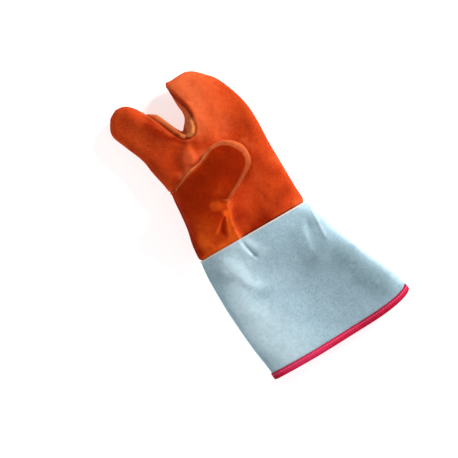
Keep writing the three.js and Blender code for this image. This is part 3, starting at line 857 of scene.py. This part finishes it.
def cuff_points(down, turn, out):
    """Points of the cuff: how far down it, the angle round it, and how far out from its outer skin."""
    y = hem_y(turn) * down
    left, right, crown, base = table_columns(CUFF, -y)
    middle = (left + right) / 2
    half = (right - left) / 2
    across, z = section(turn, half + out, CUFF_SEAM_Z, crown + out, base - out)
    skin_across, skin_z = section(turn, half, CUFF_SEAM_Z, crown, base)
    on_skin = np.column_stack([middle + skin_across, y, np.full(len(y), NOISE_Z)])
    stray = [noise(on_skin, 13, 61), noise(on_skin, 13, 65), np.zeros(len(y))]
    drift = np.column_stack(stray) * FOLD_DRIFT
    rise = creases(on_skin, CUFF_FOLDS, drift)
    hollows_left = 1 - 0.8 * smoothstep(-22, -8, y)
    past_wrist = 1 - smoothstep(-64, -8, y)
    rise = np.where(rise < 0, rise * hollows_left, rise)
    rise += waves(on_skin, CUFF_WAVES) * past_wrist
    rise *= smoothstep(CUFF_SEAM_Z + 1, CUFF_SEAM_Z + 12, skin_z)
    rise += swell(on_skin[:, :2], skin_z, CUFF_SEAM_Z, crown, CUFF_SWELLS) * past_wrist
    return np.column_stack([middle + across, y, z + rise])


def even_turns(count):
    """Angles that space the points evenly round a section from the middle of the cuff."""
    fine = np.linspace(0, 2 * math.pi, 4001)
    out, z = section(fine, CUFF_MIDDLE_HALF, CUFF_SEAM_Z, CUFF_MIDDLE_CROWN, 0)
    run = np.concatenate([[0], np.cumsum(np.hypot(np.diff(out), np.diff(z)))])
    return np.interp(np.linspace(0, run[-1], count, endpoint=False), run, fine)


def grid_mesh(name, rows, wrap, uv_scale):
    """A mesh over rows of points; wrap closes it round each row."""
    rows = np.asarray(rows)
    n, c = rows.shape[:2]
    faces = []
    uvs = []
    for r in range(n - 1):
        for i in range(c if wrap else c - 1):
            j = (i + 1) % c
            faces.append((r * c + i, (r + 1) * c + i, (r + 1) * c + j, r * c + j))
            uvs.append(((r, i), (r + 1, i), (r + 1, i + 1), (r, i + 1)))
    mesh = new_mesh(name, (rows.reshape(-1, 3) - SHIFT) / MM_PER_M, faces)
    layer = mesh.uv_layers.new(name="UVMap")
    flat = np.array(uvs, float).reshape(-1, 2) * np.array(uv_scale)
    layer.data.foreach_set("uv", flat.ravel())
    shade_smooth(mesh)
    return new_object(name, mesh)


def cuff_piece():
    """The cuff: an inner and an outer skin, joined by its raw edge at the wrist and at the hem."""
    turns = even_turns(CUFF_COLUMNS)
    downs = np.linspace(0, 1, CUFF_ROWS)
    outer = [cuff_points(np.full(len(turns), d), turns, 0.0) for d in downs]
    inner = [cuff_points(np.full(len(turns), d), turns, -CUFF_HIDE) for d in downs]
    raw_edge = (outer[0] + (0, 0.25, 0)) * 0.5 + inner[0] * 0.5
    rows = inner[::-1] + [raw_edge] + outer + [(inner[-1] + outer[-1]) / 2, inner[-1]]
    piece = grid_mesh("cuff_hide", rows, True, (1.4, 1.4))
    points = np.concatenate(rows)
    upper = smoothstep(CUFF_SEAM_Z - 8, CUFF_SEAM_Z + 4, points[:, 2])
    keep_on_points(piece.data, "down", -points[:, 1])
    # Painted light and shade of the cuff, on its upper side only
    keep_on_points(piece.data, "shading_paint", painted_shading(points, CUFF_SHADING_PAINT) * upper)
    return piece


def tape_profile():
    """Section of the tape: share of the way to the hem, how far out from the cuff, drop below the hem."""
    outer = TAPE + TAPE_PLAY
    inner = -CUFF_HIDE - TAPE - TAPE_PLAY
    rows = []
    for share in np.linspace(0, 1, 7):
        rows.append((share, outer - bump(share - GROOVE_SHARE, GROOVE_DEEP, GROOVE_WIDE), 0))
    for angle in np.linspace(0, math.pi, 9)[1:-1]:
        out = (outer + inner) / 2 + (outer - inner) / 2 * math.cos(angle)
        rows.append((1, out, TAPE_DROP * math.sin(angle)))
    for share in np.linspace(1, 0, 7):
        rows.append((share, inner + bump(share - GROOVE_SHARE, GROOVE_DEEP, GROOVE_WIDE), 0))
    rows += [(0, -CUFF_HIDE - TAPE_CLEAR, 0), (0.5, -CUFF_HIDE - TAPE_SNUG, 0)]
    rows += [(1, -CUFF_HIDE * 0.5, 0.2), (0.5, TAPE_SNUG, 0), (0, TAPE_CLEAR, 0)]
    return rows


def binding_piece():
    """Tape folded over the hem and round the vent, with a groove under its woven edge."""
    turns = even_turns(TAPE_COLUMNS)
    end = 2 * math.pi - TAPE_START
    turns = np.concatenate([[TAPE_START], turns[(turns > TAPE_START) & (turns < end)], [end]])
    profile = tape_profile()
    rows = []
    for share, out, drop in profile:
        points = cuff_points(1 + (1 - share) * TAPE_HEIGHT / hem_y(turns), turns, out)
        points[:, 1] -= drop
        rows.append(points)
    rows.append(rows[0])
    grid = np.transpose(np.array(rows), (1, 0, 2))
    piece = grid_mesh("cuff_binding_tape", grid, False, (0.6, 1.0))
    across = [share for share, out, drop in profile] + [0]
    halfway = across.index(0.5)
    steps = np.hypot(*np.diff(grid[:, halfway, :2], axis=0).T)
    run = np.concatenate([[0], np.cumsum(steps)])
    keep_on_points(piece.data, "across", np.tile(across, len(grid)))
    keep_on_points(piece.data, "along", np.repeat(run, len(across)))
    # Painted light and shade along the tape
    keep_on_points(piece.data, "shading_paint", painted_shading(grid.reshape(-1, 3), TAPE_SHADING_PAINT))
    return piece


pieces = hand_panels()
pieces["cuff"] = cuff_piece()
pieces["cuff_binding"] = binding_piece()

# Each piece stands for the solid of its name
for name, obj in pieces.items():
    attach(obj, "root")
    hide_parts(name)


# Materials
class Nodes:
    """A new material, with short calls for the nodes that the materials share."""

    def __init__(self, name):
        self.material = bpy.data.materials.new(name)
        self.material.use_nodes = True
        self.tree = self.material.node_tree
        self.tree.nodes.clear()

    def add(self, kind, **values):
        node = self.tree.nodes.new(kind)
        for key, value in values.items():
            setattr(node, key, value)
        return node

    def link(self, a, b):
        self.tree.links.new(a, b)

    def fill(self, node, **numbers):
        """Sets the node's sockets, named in words joined by _."""
        for key, number in numbers.items():
            node.inputs[key.replace("_", " ")].default_value = number
        return node

    def attribute(self, name):
        return self.add("ShaderNodeAttribute", attribute_name=name).outputs["Fac"]

    def noise(self, coordinates, scale, detail, roughness, distortion=0.0):
        node = self.add("ShaderNodeTexNoise")
        self.fill(node, Scale=scale, Detail=detail, Roughness=roughness, Distortion=distortion)
        self.link(coordinates, node.inputs["Vector"])
        return node.outputs["Fac"]

    def stripes(self, coordinates, direction, scale, distortion):
        node = self.add("ShaderNodeTexWave", wave_type="BANDS", bands_direction=direction)
        self.fill(node, Scale=scale, Distortion=distortion)
        self.link(coordinates, node.inputs["Vector"])
        return node.outputs["Fac"]

    def remap(self, value, low, high, to_low=0.0, to_high=1.0):
        """Turns low to high into to_low to to_high, and holds it beyond them."""
        node = self.add("ShaderNodeMapRange")
        self.fill(node, From_Min=low, From_Max=high, To_Min=to_low, To_Max=to_high)
        self.link(value, node.inputs["Value"])
        return node.outputs["Result"]

    def math(self, kind, a, b):
        node = self.add("ShaderNodeMath", operation=kind)
        for socket, value in zip(node.inputs, (a, b)):
            if isinstance(value, (int, float)):
                socket.default_value = value
            else:
                self.link(value, socket)
        return node.outputs[0]

    def times(self, a, b):
        return self.math("MULTIPLY", a, b)

    def mix(self, factor, a, b):
        node = self.add("ShaderNodeMix", data_type="RGBA", blend_type="MIX")
        if isinstance(factor, float):
            node.inputs["Factor"].default_value = factor
        else:
            self.link(factor, node.inputs["Factor"])
        for socket, value in ((node.inputs[6], a), (node.inputs[7], b)):
            if isinstance(value, tuple):
                socket.default_value = (*value, 1)
            else:
                self.link(value, socket)
        return node.outputs[2]

    def surface(self, colour, height, strength, distance, **numbers):
        """The material's surface: its colour, the height that roughens it, and the shader's own numbers."""
        shader = self.fill(self.add("ShaderNodeBsdfPrincipled"), **numbers)
        self.link(colour, shader.inputs["Base Color"])
        relief = self.fill(self.add("ShaderNodeBump"), Strength=strength, Distance=distance)
        self.link(height, relief.inputs["Height"])
        self.link(relief.outputs["Normal"], shader.inputs["Normal"])
        out = self.add("ShaderNodeOutputMaterial")
        self.link(shader.outputs["BSDF"], out.inputs["Surface"])
        return self.material


def srgb(r, g, b):
    def linear(v):
        v /= 255
        return v / 12.92 if v <= 0.04045 else ((v + 0.055) / 1.055) ** 2.4

    return linear(r), linear(g), linear(b)


def suede(name, bands, nap=0.4, sheen=0.08, paint_crease_shading=True):
    """Napped hide. A band is a mark, where it starts, is full, fades and ends, a tint and its share."""
    n = Nodes(name)
    base, light, dark, highlight_tint, shade_tint = (srgb(*tone) for tone in HIDE_TONES[name])
    place = n.add("ShaderNodeTexCoord").outputs["Object"]
    patches = n.noise(place, scale=34, detail=3, roughness=0.5)
    mottle = n.noise(place, scale=190, detail=4, roughness=0.65)
    grit = n.noise(place, scale=900, detail=3, roughness=0.7)
    fibre_map = n.fill(n.add("ShaderNodeMapping"), Scale=(1, 0.35, 1), Rotation=(0, 0, 0.5))
    n.link(place, fibre_map.inputs["Vector"])
    fibre = n.noise(fibre_map.outputs["Vector"], scale=620, detail=3, roughness=0.7, distortion=0.6)

    colour = n.mix(n.remap(patches, 0.32, 0.68), dark, light)
    colour = n.mix(0.5, colour, base)
    for pattern, low, high, share in (
        (mottle, 0.3, 0.7, nap),
        (fibre, 0.3, 0.7, nap * 0.6),
        (grit, 0.4, 0.6, nap * 0.75),
    ):
        fine = n.mix(n.remap(pattern, low, high), dark, light)
        colour = n.mix(share, colour, fine)
    if paint_crease_shading:
        # Painted highlight where the hide is lifted and painted shade where it is sunk
        crease = n.attribute("crease")
        colour = n.mix(n.remap(crease, 0.6, 3.0, 0.0, 0.45), colour, light)
        colour = n.mix(n.remap(crease, -0.5, -3.0, 0.0, 0.6), colour, dark)
    for mark, start, full, fade, end, tint, share in bands:
        at = n.attribute(mark)
        band = n.times(n.remap(at, start, full), n.remap(at, fade, end, share, 0.0))
        colour = n.mix(band, colour, tint)
    # Painted highlight and painted shade from the tables, broken up by the mottle
    shading_paint = n.attribute("shading_paint")
    uneven = n.remap(mottle, 0.3, 0.7, 0.75, 1.25)
    colour = n.mix(n.times(n.remap(shading_paint, 0.0, 1.0), uneven), colour, highlight_tint)
    colour = n.mix(n.times(n.remap(shading_paint, 0.0, -1.0, 0.0, 0.85), uneven), colour, shade_tint)

    height = n.math("ADD", n.times(mottle, 0.5), n.times(grit, 0.35))
    height = n.math("ADD", height, n.times(fibre, 0.4))
    return n.surface(
        colour,
        height,
        strength=0.55,
        distance=0.0009,
        Roughness=0.93,
        Specular_IOR_Level=0.05,
        Sheen_Weight=sheen,
        Sheen_Roughness=0.55,
        Sheen_Tint=(*light, 1),
    )


def woven(name, base, light, dark, thread):
    """Woven tape with painted shade along its edges, a painted highlight on its upper half and one row of
    stitches near its upper edge.
    """
    n = Nodes(name)
    coordinates = n.add("ShaderNodeTexCoord")
    ribs = n.stripes(coordinates.outputs["UV"], "X", scale=0.55, distortion=0.4)
    cross = n.stripes(coordinates.outputs["UV"], "Y", scale=0.5, distortion=0.6)
    weave = n.times(ribs, cross)
    patches = n.noise(coordinates.outputs["Object"], scale=120, detail=3, roughness=0.6)
    colour = n.mix(n.remap(patches, 0.3, 0.7), dark, light)
    colour = n.mix(0.55, colour, base)
    colour = n.mix(n.remap(weave, 0.0, 0.6, 0.35, 0.0), colour, dark)

    across = n.attribute("across")
    shading_paint = n.attribute("shading_paint")
    # Painted highlight on the tape's upper half
    upper = n.times(n.remap(across, 0.1, 0.25), n.remap(across, 0.45, 0.7, 1.0, 0.0))
    colour = n.mix(n.times(upper, 0.5), colour, light)
    # Painted highlight and shade from the tape's table
    colour = n.mix(n.remap(shading_paint, 0.0, 1.0, 0.0, 0.8), colour, light)
    colour = n.mix(n.remap(shading_paint, 0.0, -1.0, 0.0, 0.8), colour, dark)
    # Painted shade along the tape's top edge and its fold round the hem
    edge_shade = n.math("MAXIMUM", n.remap(across, 0.06, 0.16, 0.75, 0.0), n.remap(across, 0.8, 1.0, 0.0, 0.35))
    colour = n.mix(edge_shade, colour, dark)

    turn = n.math("SINE", n.times(n.attribute("along"), 2 * math.pi / STITCH_LENGTH), 0.0)
    dash = n.times(n.remap(turn, -0.3, 0.3), n.remap(across, 0.26, 0.32))
    dash = n.times(dash, n.remap(across, 0.4, 0.46, 0.45, 0.0))
    colour = n.mix(dash, colour, thread)
    return n.surface(
        colour,
        weave,
        strength=0.5,
        distance=0.0004,
        Roughness=0.75,
        Specular_IOR_Level=0.15,
        Sheen_Weight=0.06,
        Sheen_Tint=(*light, 1),
    )


# Tones of each hide, as red, green and blue up to 255: base, light, dark, tint of the painted highlight,
# tint of the painted shade
HIDE_TONES = {
    "palm_suede": ((216, 64, 18), (242, 96, 40), (172, 34, 0), (250, 112, 60), (146, 28, 2)),
    "back_suede": ((196, 70, 18), (218, 96, 38), (160, 44, 4), (232, 116, 56), (140, 34, 2)),
    "gusset_suede": ((212, 96, 42), (234, 124, 68), (166, 56, 14), (244, 148, 84), (112, 26, 2)),
    "thumb_suede": ((172, 35, 0), (206, 62, 4), (132, 11, 0), (252, 100, 28), (104, 10, 0)),
    "rim_suede": ((220, 102, 48), (242, 130, 74), (180, 60, 18), (250, 150, 96), (140, 40, 8)),
    "cuff_suede": ((168, 197, 209), (194, 222, 237), (134, 162, 172), (214, 240, 250), (118, 142, 150)),
}
# Tints of the painted shade in the seams, of bare hide at a cut edge (also the painted highlight on the
# palm's rolled edge) and of the painted shade at the wrist
DEEP = srgb(142, 30, 3)
RAW_EDGE_AND_HIGHLIGHT = srgb(236, 120, 66)
DARK = srgb(62, 22, 24)
palm_suede = suede(
    "palm_suede",
    bands=[
        ("fork", -1.4, -0.5, 0.5, 1.0, DEEP, 0.6),
        # Painted highlight on the palm's rolled edge along the fork
        ("fork", -4.4, -2.8, -2.4, -1.4, RAW_EDGE_AND_HIGHLIGHT, 0.3),
        ("strip", -1.6, -0.3, 0.5, 1.0, DEEP, 0.6),
        ("wrist", -3.0, -2.0, 0.6, 2.2, DARK, 0.8),
    ],
)
back_suede = suede(
    "back_suede",
    bands=[
        ("strip", -1.4, -0.3, 0.5, 1.0, DEEP, 0.6),
        ("side", -1.4, -0.3, 0.5, 1.0, DEEP, 0.6),
        ("wrist", -3.0, -2.0, 0.6, 2.2, DARK, 0.8),
    ],
)
gusset_suede = suede(
    "gusset_suede",
    bands=[
        ("fork", -0.5, 0.0, 0.4, 1.2, DEEP, 0.7),
        # Painted highlight along the gusset's rounded rim
        ("fork", 1.0, 2.0, 3.4, 4.6, srgb(240, 140, 84), 0.2),
    ],
)
thumb_suede = suede(
    "thumb_suede",
    bands=[
        ("strip", -0.5, 0.0, 0.5, 2.2, RAW_EDGE_AND_HIGHLIGHT, 0.6),
        ("wrist", -2.0, -1.2, 0.4, 1.4, DARK, 0.6),
    ],
    sheen=0.03,
)
rim_suede = suede(
    "rim_suede",
    bands=[("strip", -1.0, -0.3, 0.5, 1.0, DEEP, 0.05)],
)
cuff_suede = suede(
    "cuff_suede",
    bands=[("down", -1.0, -0.5, 1.2, 2.0, srgb(240, 222, 210), 0.85)],
    nap=0.6,
    paint_crease_shading=False,
)
tape_weave = woven(
    "tape_weave",
    base=srgb(246, 12, 58),
    light=srgb(255, 62, 118),
    dark=srgb(160, 0, 34),
    thread=srgb(255, 150, 182),
)

for name, made, slot_name in (
    ("palm", palm_suede, "palm_leather"),
    ("back", back_suede, "back_leather"),
    ("finger_gusset", gusset_suede, "gusset_leather"),
    ("thumb_outer", thumb_suede, "thumb_leather"),
    ("thumb_inner", rim_suede, "thumb_inner_leather"),
    ("cuff", cuff_suede, "cuff_leather"),
    ("cuff_binding", tape_weave, "binding_tape"),
):
    pieces[name].data.materials.append(made)


# Floor, light and camera
def paper_floor():
    """White ground just under the glove, which shines a little so that it stays white."""
    corners = [(FLOOR_HALF * x, FLOOR_HALF * y, FLOOR_Z) for x, y in ((-1, -1), (1, -1), (1, 1), (-1, 1))]
    ground = new_object("floor", new_mesh("floor", corners, [(0, 1, 2, 3)]))
    n = Nodes("paper")
    shader = n.fill(
        n.add("ShaderNodeBsdfPrincipled"),
        Base_Color=(0.9, 0.9, 0.9, 1),
        Roughness=1.0,
        Specular_IOR_Level=0.0,
        Emission_Color=(1, 1, 1, 1),
        Emission_Strength=0.62,
    )
    n.link(shader.outputs["BSDF"], n.add("ShaderNodeOutputMaterial").inputs["Surface"])
    ground.data.materials.append(n.material)
    return ground


def area_light(name, place, size, power):
    """A round lamp that points at the origin."""
    data = bpy.data.lights.new(name, "AREA")
    data.shape = "DISK"
    data.size = size
    data.energy = power
    lamp = new_object(name, data)
    lamp.location = place
    lamp.rotation_euler = (-Vector(place)).to_track_quat("-Z", "Y").to_euler()


def white_world(strength):
    world = bpy.data.worlds.new("world")
    world.use_nodes = True
    background = world.node_tree.nodes["Background"]
    background.inputs["Color"].default_value = (1, 1, 1, 1)
    background.inputs["Strength"].default_value = strength
    bpy.context.scene.world = world


def camera_above():
    """Camera straight above, turned so that the glove lies at the photo's angle."""
    data = bpy.data.cameras.new("camera")
    data.lens = LENS
    data.sensor_width = SENSOR
    camera = new_object("camera", data)
    eye = (np.array(VIEW_MIDDLE) - SHIFT) / MM_PER_M + (0, 0, LENS * FRAME_WIDTH / SENSOR)
    camera.matrix_world = Matrix.Translation(eye) @ Matrix.Rotation(VIEW_TURN, 4, "Z")
    bpy.context.scene.camera = camera


floor = paper_floor()
area_light("key", place=(1.9, 0.6, 1.15), size=0.7, power=51)
area_light("fill", place=(-1.4, -1.5, 1.5), size=1.6, power=19)
white_world(0.24)
view = bpy.context.scene.view_settings
view.view_transform = "Standard"
view.look = "None"
camera_above()
